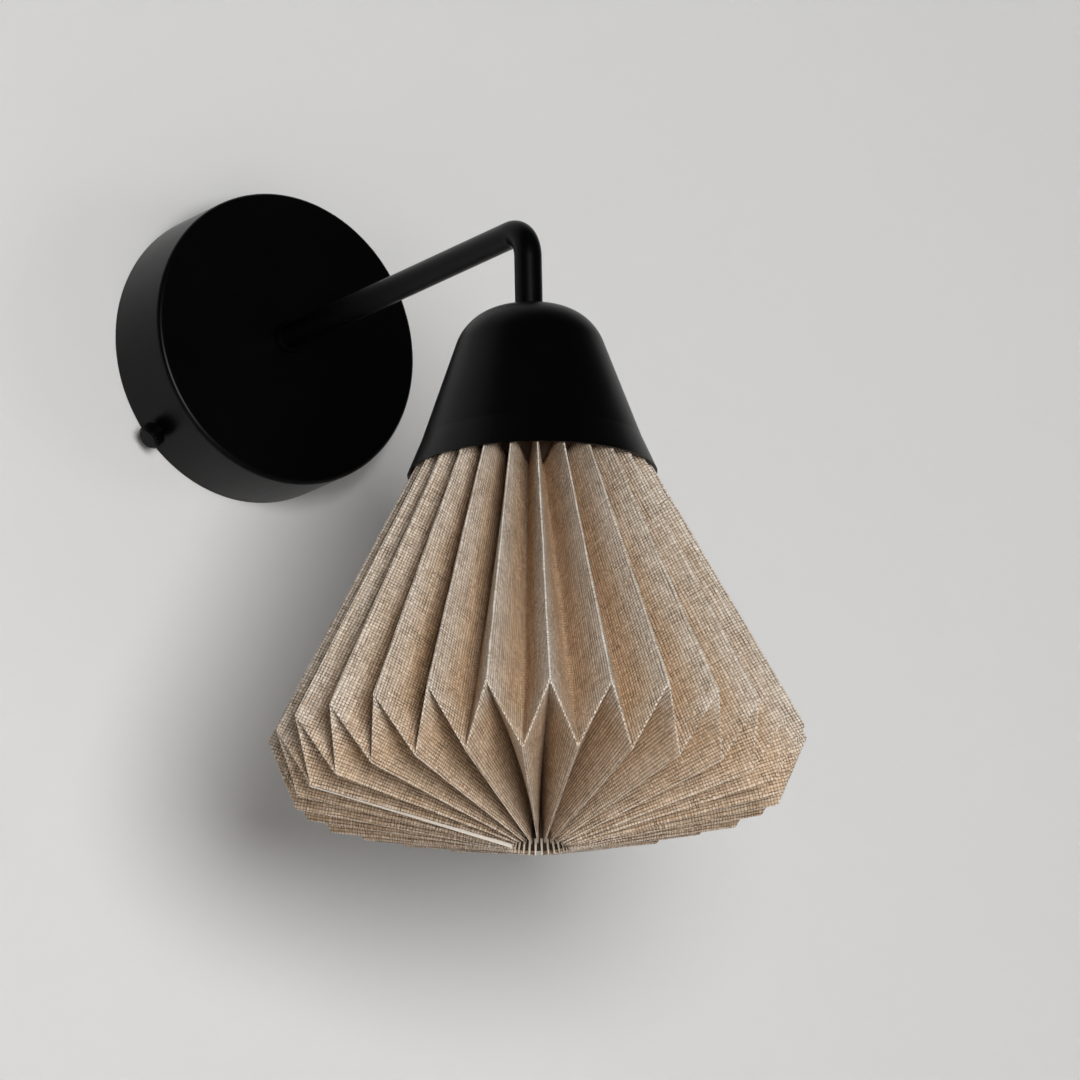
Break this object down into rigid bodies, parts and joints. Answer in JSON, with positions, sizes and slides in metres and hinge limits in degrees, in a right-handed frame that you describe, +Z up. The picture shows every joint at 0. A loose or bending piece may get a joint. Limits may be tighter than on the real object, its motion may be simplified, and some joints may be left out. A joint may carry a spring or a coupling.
{
  "type": "wall light",
  "caption": "Wall light with a round plate, a bent tube arm, a metal bell cap and a folded linen shade that turns under round a small hole.",
  "frame": {"origin": "centre of the wall plate's back, on the wall plane", "axes": "+Y into the wall, -Y out into the room along the arm, +X to the right as seen from the room, +Z up"},
  "size_m": [0.193, 0.2945, 0.2877],
  "materials": {
    "black_paint": "matte black powder coat",
    "black_screw": "black knurled",
    "zinc_steel": "zinc plated",
    "brass": "bright",
    "black_plastic": "moulded black",
    "pale_plastic": "moulded white",
    "linen": "natural linen on a stiff cream backing",
    "opal_plastic": "opal diffuser",
    "white_plastic": "moulded white",
    "bulb_metal": "plated",
    "cable_sheath": "black sheath",
    "core_sheath": "brown and blue cores",
    "earth_sheath": "green and yellow core"
  },
  "bodies": {
    "fixture": {"arm_cable": "cable_sheath", "arm_collar": "black_paint", "arm_tube": "black_paint", "bell_cap": "black_paint", "cable_bush": "black_plastic", "cap_nipple": "zinc_steel", "cap_nut": "zinc_steel", "cap_washer": "zinc_steel", "centre_contact": "brass", "earth_core": "earth_sheath", "earth_lug": "zinc_steel", "earth_screw": "brass", "holder_body": "black_plastic", "holder_cores": "core_sheath", "holder_dome": "black_plastic", "holder_insert": "pale_plastic", "plate_cores": "core_sheath", "plate_nipple": "zinc_steel", "plate_nut": "zinc_steel", "plate_washer": "zinc_steel", "pleated_shade": "linen", "screw_shell": "brass", "shade_carrier": "zinc_steel", "side_contact": "brass", "terminal_block": "pale_plastic", "terminal_clamps": "brass", "terminal_screws": "zinc_steel", "upper_ring": "black_plastic", "wall_bracket": "zinc_steel", "wall_plate": "black_paint"},
    "left_screw": {"side_screw_left": "black_screw"},
    "right_screw": {"side_screw_right": "black_screw"},
    "bulb": {"bulb_body": "white_plastic", "bulb_globe": "opal_plastic", "bulb_screw": "bulb_metal", "bulb_tip": "black_plastic"},
    "shade_ring": {"lower_ring": "black_plastic"}
  },
  "joints": [
    {"name": "left_screw_turn", "type": "hinge", "parent": "fixture", "child": "left_screw", "pos_m": [0, -0.009, 0], "axis": [-0.766, 0, -0.6428], "continuous": true},
    {"name": "right_screw_turn", "type": "hinge", "parent": "fixture", "child": "right_screw", "pos_m": [0, -0.009, 0], "axis": [0.766, 0, 0.6428], "continuous": true},
    {"name": "bulb_turn", "type": "hinge", "parent": "fixture", "child": "bulb", "pos_m": [0, -0.198, -0.09], "axis": [0, 0, 1], "continuous": true},
    {"name": "shade_ring_turn", "type": "hinge", "parent": "fixture", "child": "shade_ring", "pos_m": [0, -0.198, -0.0857], "axis": [0, 0, 1], "continuous": true}
  ]
}
